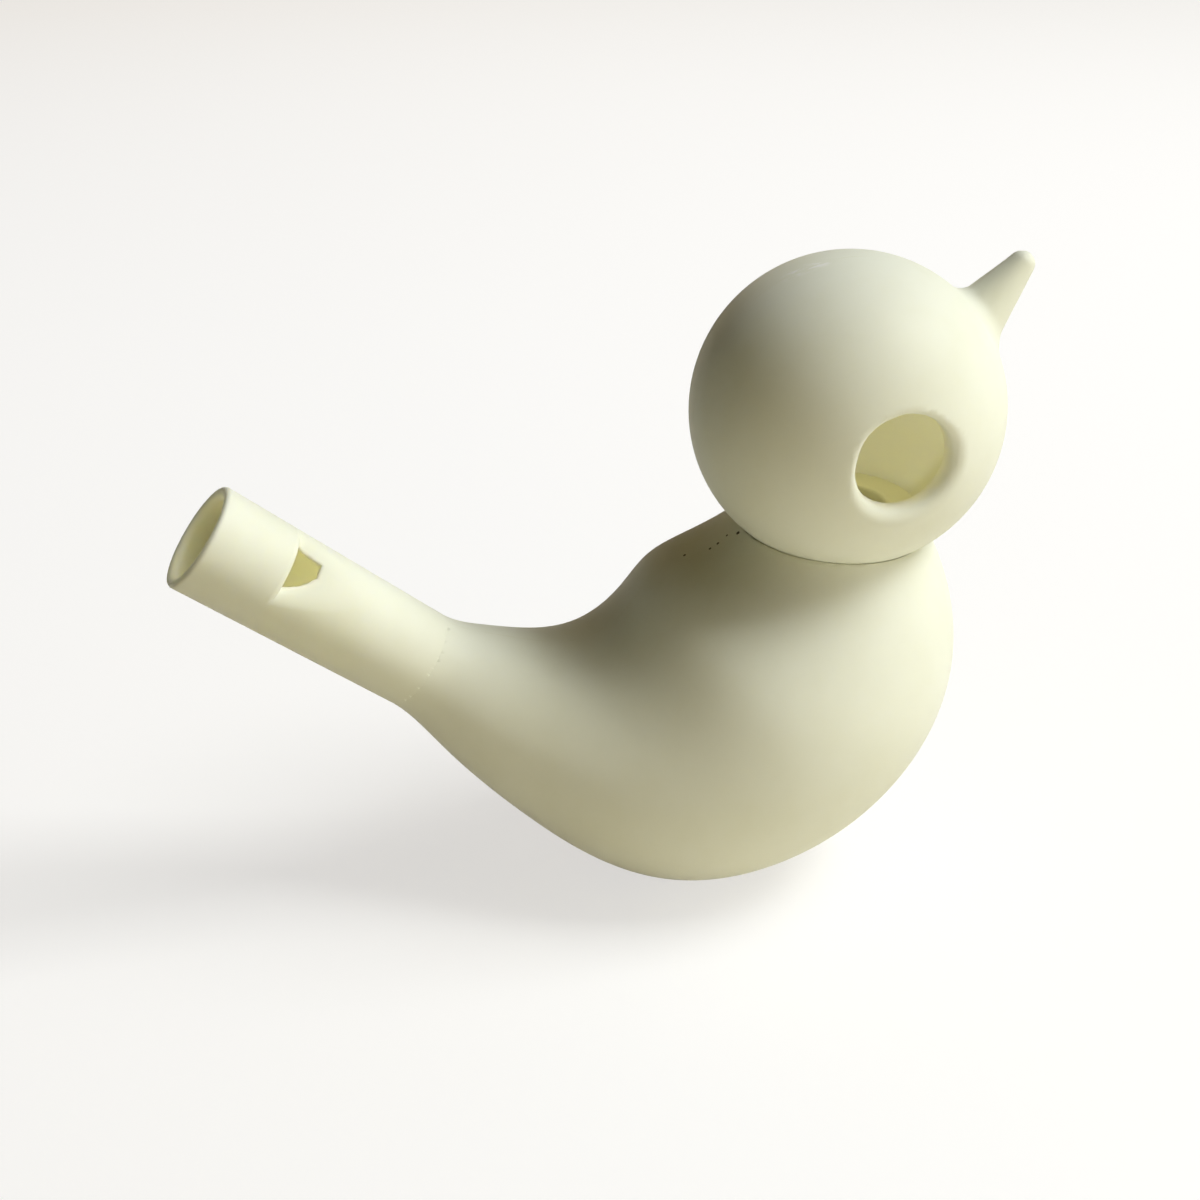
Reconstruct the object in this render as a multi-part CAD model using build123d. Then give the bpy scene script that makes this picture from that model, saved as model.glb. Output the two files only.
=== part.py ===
from build123d import *
from dataclasses import dataclass
import math
import os

# A water bird call: blow in at the tail, and the note warbles as the water in the body stirs.
# Millimetres, +X towards the beak, +Y to the bird's left, +Z up.
# The origin is the centre of the flat that the bird stands on.

# Head: a hollow ball in two halves, with an eye opening on each side and the beak moulded on
HEAD_DIAMETER = 30.3
HEAD_WALL = 2.0
HEAD_AHEAD = 29.5         # ball centre in front of the saddle centre
HEAD_ABOVE = 6.6          # ball centre above the saddle centre
EYE_BORE = 9.2
EYE_RIM_ROUND = 1.5
EYE_LIFT_DEG = 3.3        # the eyes look slightly up
BEAK_ROOT_DEG = 34.8      # where the beak stands on the ball, above level
BEAK_AIM_DEG = 51.3       # slope of the beak itself
BEAK_LENGTH = 6.1         # from the ball's surface to the centre of the round tip
BEAK_ROOT_DIAMETER = 5.6
BEAK_TIP_DIAMETER = 2.5
BEAK_ROOT_ROUND = 1.3

# Body: round sections on planes that fan out about the centre of the hollow saddle of the back
BODY_WALL = 2.0
BASE_CUT = 1.0            # depth of belly taken off to make the flat
TAIL_RISE_DEG = 38.2
TAIL_REACH = 21.0         # saddle centre to the tail's axis
NECK_SINK = 4.5           # how far the body's top would reach into the ball
NECK_DIAMETER = 17.2
SEAT_GAP = 0.05

# Sections from the tail's joint to the neck: reach of the back and of the belly from the saddle centre
FLARE_BACK = 15.5
FLARE_BELLY = 29.1
LOIN_BACK = 15.8
LOIN_BELLY = 35.7
RUMP_BACK = 16.4
RUMP_BELLY = 44.5
BELLY_BACK = 15.4
BELLY_BELLY = 48.7
BREAST_BACK = 14.6
BREAST_BELLY = 49.2
SHOULDER_BACK = 17.3
SHOULDER_BELLY = 46.2

# Neck collar: a flanged bush that both pairs of halves close around
COLLAR_DIAMETER = 12.6
COLLAR_WALL = 1.5
FLANGE_DIAMETER = 15.2
FLANGE_THICKNESS = 1.2
COLLAR_FIT = 0.03

# Whistle tube: the straight tail, pushed over the spigot that the two body halves form
TUBE_MOUTH_DIAMETER = 10.7
TUBE_JOINT_DIAMETER = 10.0
TUBE_BORE = 8.2
TUBE_LENGTH = 25.0
MOUTH_ROUND = 0.8         # outer edge of the mouth
BORE_ROUND = 0.3          # inner edge of the mouth
SPIGOT_LENGTH = 6.0
SPIGOT_WALL = 0.9
SPIGOT_FIT = 0.03

# Voicing: windway, window and the lip that splits the air
WINDOW_ROLL_DEG = 41.0    # window turned from the tail's top towards the bird's right
MOUTHPIECE_LENGTH = 8.1   # mouth to the step that ends the windway
STEP_DEPTH = 1.4
RAMP_LENGTH = 5.5
WINDOW_LENGTH = 2.7
WINDOW_STEP_WIDTH = 3.8
WINDOW_LIP_WIDTH = 1.4
WINDOW_LIP_SHIFT = 0.7    # the lip lies this far to the upper side of the window's middle
BLOCK_RECESS = 2.2
BLOCK_FIT = 0.03
WINDWAY_HEIGHT = 1.1

# Seam: an inner lip on each right half enters a rebate in the left half
SEAM_LIP = 1.0
SEAM_FIT = 0.08
SEAM_SHARE = 0.5          # part of the wall's thickness outside the lip

# Values that follow from the sizes above
HEAD_RADIUS = HEAD_DIAMETER / 2
HEAD_HOLLOW = HEAD_RADIUS - HEAD_WALL
COLLAR_RADIUS = COLLAR_DIAMETER / 2
FLANGE_RADIUS = FLANGE_DIAMETER / 2
JOINT_RADIUS = TUBE_JOINT_DIAMETER / 2
MOUTH_RADIUS = TUBE_MOUTH_DIAMETER / 2
BORE_RADIUS = TUBE_BORE / 2
SPIGOT_RADIUS = BORE_RADIUS - SPIGOT_FIT
WINDPIPE_RADIUS = SPIGOT_RADIUS - SPIGOT_WALL
STEP_PLACE = TUBE_LENGTH - MOUTHPIECE_LENGTH
NECK_ABOVE = HEAD_ABOVE - HEAD_RADIUS + NECK_SINK
NECK_TURN_DEG = 90 + TAIL_RISE_DEG + math.degrees(math.atan2(NECK_ABOVE, HEAD_AHEAD))

# Modelling aids
RIGHT, LEFT = -1, 1       # side of the bird's middle plane
FAR = 200.0               # larger than the whole bird
SKIRT = 2.0               # drawn past the middle plane before a half is trimmed to it
BURY = 4.0                # how far the beak's cone is drawn into the ball before hollowing
RIM_SHARE = 0.6           # most of the mouth's wall that a round may take


@dataclass(frozen=True)
class Station:
    """One round section of the body, at an angle of turn from the tail's joint."""

    turn: float
    back: float
    belly: float
    wall: float = BODY_WALL

    @property
    def radius(self):
        return (self.belly - self.back) / 2

    @property
    def middle(self):
        return (self.belly + self.back) / 2


JOINT = Station(0.0, TAIL_REACH - JOINT_RADIUS, TAIL_REACH + JOINT_RADIUS, JOINT_RADIUS - WINDPIPE_RADIUS)
REACHES = (
    (FLARE_BACK, FLARE_BELLY),
    (LOIN_BACK, LOIN_BELLY),
    (RUMP_BACK, RUMP_BELLY),
    (BELLY_BACK, BELLY_BELLY),
    (BREAST_BACK, BREAST_BELLY),
    (SHOULDER_BACK, SHOULDER_BELLY),
)
SECTION_TURN_DEG = NECK_TURN_DEG / (len(REACHES) + 1)
FAN = [JOINT]
FAN += [Station(n * SECTION_TURN_DEG, *reach) for n, reach in enumerate(REACHES, start=1)]


def fan_plane(station, saddle):
    """Plane of one section: X runs away from the saddle centre, Y to the left, Z along the body."""
    angle = math.radians(station.turn - 90 - TAIL_RISE_DEG)
    away = Vector(math.cos(angle), 0, math.sin(angle))
    along = Vector(-math.sin(angle), 0, math.cos(angle))
    return Plane(origin=saddle + away * station.middle, x_dir=away, z_dir=along)


def half_round(plane, radius, side):
    """Half of a round section on one side, with a skirt past the middle plane."""
    arc = ThreePointArc((-radius, 0), (0, side * radius), (radius, 0))
    skirt = Polyline((radius, 0), (radius, -side * SKIRT), (-radius, -side * SKIRT), (-radius, 0))
    return plane * Wire(arc.edges() + skirt.edges())


def body_form(saddle, side, depth=0.0, shrink=0.0):
    """One half of the body at a depth in its wall, from 0 outside to 1 inside, drawn in by shrink."""
    neck = Plane(origin=saddle + Vector(HEAD_AHEAD, 0, NECK_ABOVE))
    rings = [half_round(fan_plane(s, saddle), s.radius - depth * s.wall - shrink, side) for s in FAN]
    rings.append(half_round(neck, NECK_DIAMETER / 2 - depth * BODY_WALL - shrink, side))
    return Solid.make_loft(rings)


def slab(side, reach=FAR):
    """Everything within reach of the middle plane on one side."""
    return Pos(0, side * reach / 2, 0) * Box(2 * FAR, reach, 2 * FAR)


def below(level):
    """Everything under a height."""
    return Pos(0, 0, level - FAR / 2) * Box(2 * FAR, 2 * FAR, FAR)


def stand_on_flat():
    """Place of the saddle centre when the flat's middle is the origin."""
    form = body_form(Vector(0, 0, 0), LEFT) & slab(LEFT)
    level = form.bounding_box().min.Z + BASE_CUT
    flat = (form & below(level)).faces().sort_by(Axis.Z)[-1]
    return Vector(-flat.bounding_box().center().X, 0, -level)


SADDLE = stand_on_flat()
HEAD = SADDLE + Vector(HEAD_AHEAD, 0, HEAD_ABOVE)

# The collar's flanges bear on flat lands cut into the ball's wall and into the deck under the ball
SEAT_RADIUS = HEAD_RADIUS + SEAT_GAP
DECK_RADIUS = SEAT_RADIUS + BODY_WALL
BEARING_RADIUS = (COLLAR_RADIUS + FLANGE_RADIUS) / 2
HEAD_LAND = HEAD.Z - math.sqrt(HEAD_HOLLOW**2 - BEARING_RADIUS**2)
BODY_LAND = HEAD.Z - math.sqrt(DECK_RADIUS**2 - BEARING_RADIUS**2)


def tail_plane():
    """Plane of the tail's joint: Z runs to the mouth and X faces the window."""
    joint = fan_plane(JOINT, SADDLE)
    roll = math.radians(WINDOW_ROLL_DEG)
    facing = joint.x_dir * -math.cos(roll) - joint.y_dir * math.sin(roll)
    return Plane(origin=joint.origin, x_dir=facing, z_dir=-joint.z_dir)


TAIL = tail_plane()


def upright(radius, low, high):
    """Cylinder on the neck's axis between two heights."""
    return Pos(HEAD.X, HEAD.Y, (low + high) / 2) * Cylinder(radius, high - low)


def ball(radius):
    """Ball about the head's centre."""
    return Pos(HEAD) * Sphere(radius)


def tail_rod(radius, start, end):
    """Cylinder on the tail's axis between two distances from the joint."""
    return TAIL * Pos(0, 0, (start + end) / 2) * Cylinder(radius, end - start)


def body_seam(depth, shrink, reach):
    """Left part of the body's wall near the seam, clear of the floor and of the deck under the ball."""
    strip = body_form(SADDLE, LEFT, depth, shrink) & slab(LEFT, reach)
    return strip - ball(DECK_RADIUS) - below(BODY_WALL)


def body_shell(side):
    """One half of the hollow body, with its half of the tail's spigot and of the ball's seat."""
    hollow = body_form(SADDLE, side, 1.0) - ball(DECK_RADIUS) - below(BODY_WALL)
    shell = body_form(SADDLE, side) - hollow - ball(SEAT_RADIUS) - below(0)
    shell += tail_rod(SPIGOT_RADIUS, 0, SPIGOT_LENGTH)
    shell -= tail_rod(WINDPIPE_RADIUS, 0, SPIGOT_LENGTH)
    shell -= upright(COLLAR_RADIUS + COLLAR_FIT, HEAD.Z - DECK_RADIUS, HEAD.Z)
    shell -= upright(FLANGE_RADIUS + COLLAR_FIT, HEAD.Z - DECK_RADIUS, BODY_LAND)
    shell &= slab(side)
    if side == RIGHT:
        return shell + (body_seam(SEAM_SHARE, SEAM_FIT, SEAM_LIP) - body_form(SADDLE, LEFT, 1.0))
    return shell - body_seam(SEAM_SHARE, 0.0, SEAM_LIP + SEAM_FIT)


def eye_cutter(side):
    """Bore of one eye with a rounded rim, on an axis through the ball's centre."""
    bore = EYE_BORE / 2
    reach = HEAD_RADIUS - EYE_RIM_ROUND
    corner = Vector(bore + EYE_RIM_ROUND, math.sqrt(reach**2 - (bore + EYE_RIM_ROUND) ** 2))
    outward = corner.normalized()
    start = corner - Vector(EYE_RIM_ROUND, 0)
    end = corner + outward * EYE_RIM_ROUND
    crown = corner + (outward - Vector(1, 0)).normalized() * EYE_RIM_ROUND
    line = Polyline(end, (end.X, HEAD_DIAMETER), (0, HEAD_DIAMETER), (0, 0), (bore, 0), start)
    profile = make_face(ThreePointArc(start, crown, end).edges() + line.edges())
    lift = math.radians(EYE_LIFT_DEG)
    axis = Plane(origin=HEAD, x_dir=(1, 0, 0), z_dir=(0, side * math.cos(lift), math.sin(lift)))
    return axis * revolve(Plane.XZ * profile, Axis.Z)


def beak():
    """Round-tipped cone that leaves the ball at its own slope."""
    root, tip = BEAK_ROOT_DIAMETER / 2, BEAK_TIP_DIAMETER / 2
    taper = math.acos(tip / math.hypot(root, BEAK_LENGTH)) - math.atan2(BEAK_LENGTH, root)
    touch = Vector(tip * math.cos(taper), BEAK_LENGTH + tip * math.sin(taper))
    bulge = (math.pi / 2 + taper) / 2
    crown = Vector(tip * math.cos(bulge), BEAK_LENGTH + tip * math.sin(bulge))
    top = Vector(0, BEAK_LENGTH + tip)
    buried = Vector(root + (BURY * math.tan(taper)), -BURY)
    line = Polyline(top, (0, -BURY), buried, touch)
    profile = make_face(ThreePointArc(touch, crown, top).edges() + line.edges())
    place, aim = math.radians(BEAK_ROOT_DEG), math.radians(BEAK_AIM_DEG)
    origin = HEAD + Vector(math.cos(place), 0, math.sin(place)) * HEAD_RADIUS
    axis = Plane(origin=origin, x_dir=(0, 1, 0), z_dir=(math.cos(aim), 0, math.sin(aim)))
    return axis * revolve(Plane.XZ * profile, Axis.Z)


def head_form():
    """The ball with its beak, hollowed and opened at the eyes and at the neck."""
    form = ball(HEAD_RADIUS) + beak()
    form = fillet(form.edges().filter_by(GeomType.BSPLINE), BEAK_ROOT_ROUND)
    form -= ball(HEAD_HOLLOW)
    form -= eye_cutter(RIGHT)
    form -= eye_cutter(LEFT)
    form -= upright(COLLAR_RADIUS + COLLAR_FIT, HEAD.Z - HEAD_DIAMETER, HEAD.Z)
    return form - upright(FLANGE_RADIUS + COLLAR_FIT, HEAD_LAND, HEAD.Z)


def head_seam(radius, reach):
    """Left part of the ball near the seam, clear of the collar."""
    strip = ball(radius) & slab(LEFT, reach)
    return strip - upright(FLANGE_RADIUS + HEAD_WALL, HEAD.Z - HEAD_DIAMETER, HEAD.Z)


def head_shell(form, side):
    """One half of the head."""
    shell = form & slab(side)
    middle = HEAD_RADIUS - SEAM_SHARE * HEAD_WALL
    if side == RIGHT:
        return shell + (head_seam(middle - SEAM_FIT, SEAM_LIP) - ball(HEAD_HOLLOW))
    return shell - head_seam(middle, SEAM_LIP + SEAM_FIT)


def neck_collar():
    """Flanged bush through the ball's wall and the deck, open for air and water."""
    bush = upright(COLLAR_RADIUS, BODY_LAND, HEAD_LAND)
    bush += upright(FLANGE_RADIUS, HEAD_LAND, HEAD_LAND + FLANGE_THICKNESS)
    bush += upright(FLANGE_RADIUS, BODY_LAND - FLANGE_THICKNESS, BODY_LAND)
    return bush - upright(COLLAR_RADIUS - COLLAR_WALL, BODY_LAND - FAR, HEAD_LAND + FAR)


def tube_radius(place):
    """Outer radius of the tube at a distance from the joint."""
    return JOINT_RADIUS + (MOUTH_RADIUS - JOINT_RADIUS) * place / TUBE_LENGTH


def window_cutter():
    """Step and ramp outside the tube, and the opening that narrows to the lip."""
    floor = tube_radius(STEP_PLACE) - STEP_DEPTH
    ramp_end = STEP_PLACE - RAMP_LENGTH
    lip_place = STEP_PLACE - WINDOW_LENGTH
    outside = TUBE_MOUTH_DIAMETER
    side_view = [(floor, STEP_PLACE), (outside, STEP_PLACE)]
    side_view += [(outside, ramp_end), (tube_radius(ramp_end), ramp_end)]
    ramp = extrude(Plane.XZ * make_face(Polyline(*side_view, close=True)), TUBE_MOUTH_DIAMETER, both=True)
    step_half, lip_half = WINDOW_STEP_WIDTH / 2, WINDOW_LIP_WIDTH / 2
    top_view = [(-step_half, STEP_PLACE), (step_half, STEP_PLACE)]
    top_view += [(WINDOW_LIP_SHIFT + lip_half, lip_place), (WINDOW_LIP_SHIFT - lip_half, lip_place)]
    opening = extrude(Plane.YZ * make_face(Polyline(*top_view, close=True)), outside)
    return ramp + opening


def whistle_tube():
    """Tapered tube with a rounded mouth and the window's cut."""
    low = (Align.CENTER, Align.CENTER, Align.MIN)
    wall = MOUTH_RADIUS - BORE_RADIUS
    tube = Cone(JOINT_RADIUS, MOUTH_RADIUS, TUBE_LENGTH, align=low)
    tube = fillet(tube.edges().group_by(Axis.Z)[-1], min(MOUTH_ROUND, RIM_SHARE * wall))
    tube -= Cylinder(BORE_RADIUS, TUBE_LENGTH, align=low)
    inner = tube.edges().group_by(Axis.Z)[-1].sort_by(SortBy.LENGTH)[0]
    tube = fillet(inner, min(BORE_ROUND, (1 - RIM_SHARE) * wall / 2))
    return TAIL * (tube - window_cutter())


def fipple_block():
    """Plug in the mouth whose flat leaves the windway under the window's side of the bore."""
    flat = BORE_RADIUS - WINDWAY_HEIGHT
    airway = TAIL * Pos(flat + BORE_RADIUS, 0, TUBE_LENGTH / 2)
    airway *= Box(2 * BORE_RADIUS, TUBE_BORE, 2 * TUBE_LENGTH)
    return tail_rod(BORE_RADIUS - BLOCK_FIT, STEP_PLACE, TUBE_LENGTH - BLOCK_RECESS) - airway


def main():
    """Build every piece and write one file for each."""
    head = head_form()
    pieces = {
        "body_right_shell": body_shell(RIGHT),
        "body_left_shell": body_shell(LEFT),
        "head_right_shell": head_shell(head, RIGHT),
        "head_left_shell": head_shell(head, LEFT),
        "neck_collar": neck_collar(),
        "whistle_tube": whistle_tube(),
        "fipple_block": fipple_block(),
    }
    os.makedirs("parts", exist_ok=True)
    for name, piece in pieces.items():
        print(name, len(piece.solids()), round(piece.volume, 1), piece.is_valid, piece.bounding_box())
        export_step(piece, f"parts/{name}.step")


if __name__ == "__main__":
    main()
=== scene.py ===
import itertools
import logging
import math
from collections.abc import Callable, Sequence
from dataclasses import dataclass
from enum import Enum
from functools import cached_property
from typing import TypeAlias

import bmesh
import bpy
import numpy as np
from mathutils import Matrix, Vector


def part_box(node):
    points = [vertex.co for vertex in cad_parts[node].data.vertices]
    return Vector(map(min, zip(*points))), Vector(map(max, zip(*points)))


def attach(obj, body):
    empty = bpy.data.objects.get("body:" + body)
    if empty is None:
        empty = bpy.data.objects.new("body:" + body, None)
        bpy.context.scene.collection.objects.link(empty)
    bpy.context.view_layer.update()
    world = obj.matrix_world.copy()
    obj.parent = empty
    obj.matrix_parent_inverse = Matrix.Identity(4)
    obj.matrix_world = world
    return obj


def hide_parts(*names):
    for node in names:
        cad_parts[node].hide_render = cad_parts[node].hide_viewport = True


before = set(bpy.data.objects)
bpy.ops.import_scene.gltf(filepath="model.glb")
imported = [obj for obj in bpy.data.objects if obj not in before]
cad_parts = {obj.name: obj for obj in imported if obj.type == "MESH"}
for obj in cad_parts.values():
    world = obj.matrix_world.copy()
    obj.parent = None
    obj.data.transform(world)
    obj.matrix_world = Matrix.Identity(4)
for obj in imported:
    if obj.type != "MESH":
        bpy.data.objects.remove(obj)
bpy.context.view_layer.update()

# A bird-shaped water whistle in cream plastic. Metres, +X towards the beak, +Y to the bird's left, +Z up.

MM = 0.001
BODY = "root"
TINY = 1e-15
ON_PLANE = 0.001 * MM
CUT_SNAP = 0.02 * MM
CORNER_INSET = 0.1
LOG = logging.getLogger("bird_call")

Field: TypeAlias = Callable[[np.ndarray], np.ndarray]
Tint: TypeAlias = tuple[float, float, float]
Colour: TypeAlias = tuple[float, float, float, float]
Level: TypeAlias = "Signal | float"
Paint: TypeAlias = "Signal | Colour"


class Side(Enum):
    """Side of the bird's middle plane."""

    RIGHT = -1
    LEFT = 1


class Fork(Enum):
    """Which of two forms a rounded meeting keeps."""

    JOIN = 1
    OVERLAP = -1


@dataclass(frozen=True)
class Form:
    """A solid as a distance field: below zero inside, above zero outside."""

    field: Field

    def __call__(self, points: np.ndarray) -> np.ndarray:
        """Distance of each point."""
        return self.field(points)

    def __neg__(self) -> "Form":
        """Everything outside this form."""
        return Form(lambda p: -self(p))

    def __or__(self, other: "Form") -> "Form":
        """Both forms together."""
        return Form(lambda p: np.minimum(self(p), other(p)))

    def __and__(self, other: "Form") -> "Form":
        """What both forms share."""
        return Form(lambda p: np.maximum(self(p), other(p)))

    def __sub__(self, other: "Form") -> "Form":
        """This form with the other cut away."""
        return self & -other

    def rounded(self, other: "Form", fork: Fork, reach: "float | Field") -> "Form":
        """Join or overlap two forms with a round where they meet.

        Args:
            other: the second form.
            fork: whether both are kept, or only what they share.
            reach: radius of the round, or a function that gives it at each point.

        Returns:
            The rounded form.
        """
        sign = fork.value

        def field(points: np.ndarray) -> np.ndarray:
            """Distance to the rounded form."""
            first, second = sign * self(points), sign * other(points)
            radius = reach(points) if callable(reach) else reach
            corner = np.hypot(np.maximum(radius - first, 0), np.maximum(radius - second, 0))
            return sign * (np.maximum(radius, np.minimum(first, second)) - corner)

        return Form(field)

    def fused(self, other: "Form", fillet: float) -> "Form":
        """Both forms together, with a fillet where they meet."""
        return self.rounded(other, Fork.JOIN, fillet)

    def carved(self, other: "Form", edge: "float | Field") -> "Form":
        """This form with the other cut away and the edge of the cut rounded."""
        return self.rounded(-other, Fork.OVERLAP, edge)

    def trimmed(self, other: "Form", edge: float) -> "Form":
        """What both forms share, with the edge rounded."""
        return self.rounded(other, Fork.OVERLAP, edge)

    def nearest(self, point: Vector) -> Vector:
        """Place on the form's face next to a point."""
        spot = np.array([point])
        for _ in range(4):
            spot = spot - self(spot)[:, None] * self.outward(spot)
        return Vector(spot[0])

    def outward(self, points: np.ndarray, step: float = 0.01 * MM) -> np.ndarray:
        """Unit direction in which the distance grows, at each point.

        Args:
            points: places to test, one a row.
            step: half the length over which the slope is measured.

        Returns:
            One unit vector a row.
        """
        slope = np.empty_like(points)
        for axis in range(3):
            shift = np.zeros(3)
            shift[axis] = step
            slope[:, axis] = self(points + shift) - self(points - shift)
        return slope / np.maximum(np.linalg.norm(slope, axis=1, keepdims=True), 1e-12)


def ball(centre: Vector, radius: float) -> Form:
    """Ball about a centre."""
    middle = np.array(centre)
    return Form(lambda p: np.linalg.norm(p - middle, axis=1) - radius)


def side_of(point: Vector, outward: Vector) -> Form:
    """Everything behind a plane that faces outward."""
    base, normal = np.array(point), np.array(outward.normalized())
    return Form(lambda p: (p - base) @ normal)


def rod(start: Vector, end: Vector, radius: float) -> Form:
    """Round bar with flat ends.

    Args:
        start: centre of the first end.
        end: centre of the second end.
        radius: radius of the bar.

    Returns:
        The bar.
    """
    base, axis = np.array(start), np.array((end - start).normalized())
    length = (end - start).length

    def field(points: np.ndarray) -> np.ndarray:
        """Distance to the bar."""
        rel = points - base
        along = rel @ axis
        across = np.linalg.norm(rel - np.outer(along, axis), axis=1)
        return np.maximum(across - radius, np.maximum(-along, along - length))

    return Form(field)


def smooth_line(places: Sequence[float], values: Sequence[float]) -> Field:
    """Curve without kinks through values at rising places, straight at both ends.

    Args:
        places: where the values are given.
        values: what the curve passes through.

    Returns:
        A function that reads the curve anywhere.
    """
    x, y = np.array(places), np.array(values)
    gap = np.diff(x)
    bend = np.zeros(len(x))
    inner = np.diag(2 * (gap[:-1] + gap[1:])) + np.diag(gap[1:-1], 1) + np.diag(gap[1:-1], -1)
    bend[1:-1] = np.linalg.solve(inner, 6 * np.diff(np.diff(y) / gap))

    def read(at: np.ndarray) -> np.ndarray:
        """Value of the curve at each place."""
        i = np.clip(np.searchsorted(x, at) - 1, 0, len(gap) - 1)
        before, after, h = at - x[i], x[i + 1] - at, gap[i]
        rise = bend[i] * after**3 + bend[i + 1] * before**3
        rise += (6 * y[i] - bend[i] * h**2) * after + (6 * y[i + 1] - bend[i + 1] * h**2) * before
        return rise / (6 * h)

    return read


@dataclass(frozen=True)
class Crossings:
    """Where the lines of a grid along one axis pass through a form's face."""

    axis: int
    where: tuple[np.ndarray, ...]
    place: np.ndarray
    outward: np.ndarray
    leaving: np.ndarray

    def cell(self, steps: tuple[int, int]) -> tuple[np.ndarray, ...]:
        """Find one of the four cells around each crossed line.

        Args:
            steps: cells to go back along the other two axes.

        Returns:
            The cells' numbers along each axis.
        """
        index = list(self.where)
        for other, step in zip((a for a in range(3) if a != self.axis), steps):
            index[other] = index[other] - step
        return tuple(index)


@dataclass(frozen=True)
class Skin:
    """Turns a form into an even mesh of quads whose points sit on its faces, edges and corners."""

    form: Form
    low: Vector
    high: Vector
    cell: float
    margin: int = 2
    pull: float = 0.02
    reach: float = 0.6
    halvings: int = 4

    def grid(self) -> tuple[np.ndarray, np.ndarray]:
        """Sample points of the block of cells, and the form's distance at each."""
        margin = self.margin * self.cell
        counts = [math.ceil((h - l + 2 * margin) / self.cell) + 1 for l, h in zip(self.low, self.high)]
        axes = [l - margin + self.cell * np.arange(n) for l, n in zip(self.low, counts)]
        points = np.stack(np.meshgrid(*axes, indexing="ij"), axis=-1)
        return points, self.form(points.reshape(-1, 3)).reshape(points.shape[:3])

    @cached_property
    def mesh(self) -> tuple[np.ndarray, np.ndarray]:
        """Points, one a row, and quads as rows of four point numbers."""
        points, value = self.grid()
        crossings = [self._crossings(points, value, axis) for axis in range(3)]
        used, solved = self._settle(points, crossings)
        number = np.full(used.shape, -1)
        number[used] = np.arange(len(solved))
        quads = []
        for lines in crossings:
            ring = [number[lines.cell(steps)] for steps in ((1, 1), (0, 1), (0, 0), (1, 0))]
            quad = np.stack(ring, axis=1)
            forward = lines.leaving if lines.axis != 1 else ~lines.leaving
            quads.append(np.where(forward[:, None], quad, quad[:, ::-1]))
        return solved, np.concatenate(quads)

    def _settle(self, points: np.ndarray, crossings: Sequence[Crossings]) -> tuple[np.ndarray, np.ndarray]:
        """Place one point in each cell that a face passes through, on all of its faces where it can be.

        Args:
            points: sample points of the block.
            crossings: where the grid's lines pass through a face.

        Returns:
            Whether each cell has a point, and the points.
        """
        shape = np.array(points.shape[:3]) - 1
        square, target = np.zeros((*shape, 3, 3)), np.zeros((*shape, 3))
        middle, hits = np.zeros((*shape, 3)), np.zeros(shape)
        for lines, steps in itertools.product(crossings, itertools.product((0, 1), repeat=2)):
            at, normal = lines.cell(steps), lines.outward
            np.add.at(square, at, normal[:, :, None] * normal[:, None, :])
            np.add.at(target, at, normal * (normal * lines.place).sum(axis=1, keepdims=True))
            np.add.at(middle, at, lines.place)
            np.add.at(hits, at, 1)
        used = hits > 0
        total = hits[used][:, None]
        mean = middle[used] / total
        matrix = square[used] + self.pull * total[:, :, None] * np.eye(3)
        moved = target[used] + self.pull * total * mean
        solved = np.linalg.solve(matrix, moved[:, :, None])[:, :, 0]
        centre = points[:-1, :-1, :-1][used] + self.cell / 2
        reach = self.reach * self.cell
        return used, np.clip(solved, centre - reach, centre + reach)

    def _crossings(self, points: np.ndarray, value: np.ndarray, axis: int) -> Crossings:
        """Find where the grid's lines along one axis pass through the form's face.

        Args:
            points: sample points of the block.
            value: distance at each of them.
            axis: number of the axis.

        Returns:
            The crossed lines.
        """
        ahead = [slice(None)] * 3
        here = [slice(None)] * 3
        ahead[axis], here[axis] = slice(1, None), slice(None, -1)
        a, b = value[tuple(here)], value[tuple(ahead)]
        where = np.nonzero((a < 0) != (b < 0))
        start, stop = points[tuple(here)][where], points[tuple(ahead)][where]
        low, high = a[where], b[where]
        place = start
        for _ in range(self.halvings):
            share = (low / (low - high))[:, None]
            place = start + (stop - start) * share
            level = self.form(place)
            same = (level < 0) == (low < 0)
            start = np.where(same[:, None], place, start)
            stop = np.where(same[:, None], stop, place)
            low, high = np.where(same, level, low), np.where(same, high, level)
            high = np.where(np.abs(low - high) < TINY, low + TINY, high)
        return Crossings(axis, where, place, self.form.outward(place), a[where] < 0)


def put(name: str, data: bpy.types.ID) -> bpy.types.Object:
    """New object in the scene."""
    item = bpy.data.objects.new(name, data)
    bpy.context.scene.collection.objects.link(item)
    return item


def keep_half(mesh: bpy.types.Mesh, side: Side) -> list[int]:
    """Cut a mesh at the middle plane, keep one half and close it.

    Args:
        mesh: the mesh to cut.
        side: half to keep.

    Returns:
        Numbers of the faces on the middle plane.
    """
    half = bmesh.new()
    half.from_mesh(mesh)
    inward = (0, -side.value, 0)
    whole = half.verts[:] + half.edges[:] + half.faces[:]
    cut = bmesh.ops.bisect_plane(
        half, geom=whole, dist=CUT_SNAP, plane_co=(0, 0, 0), plane_no=inward, clear_outer=True
    )
    rim = [e for e in cut["geom_cut"] if isinstance(e, bmesh.types.BMEdge) and e.is_boundary]
    bmesh.ops.triangle_fill(half, edges=rim, use_beauty=True, use_dissolve=False, normal=inward)
    bmesh.ops.recalc_face_normals(half, faces=half.faces[:])
    half.to_mesh(mesh)
    half.free()
    off = np.abs([v.co.y for v in mesh.vertices])
    return [p.index for p in mesh.polygons if off[list(p.vertices)].max() < ON_PLANE]


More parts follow.
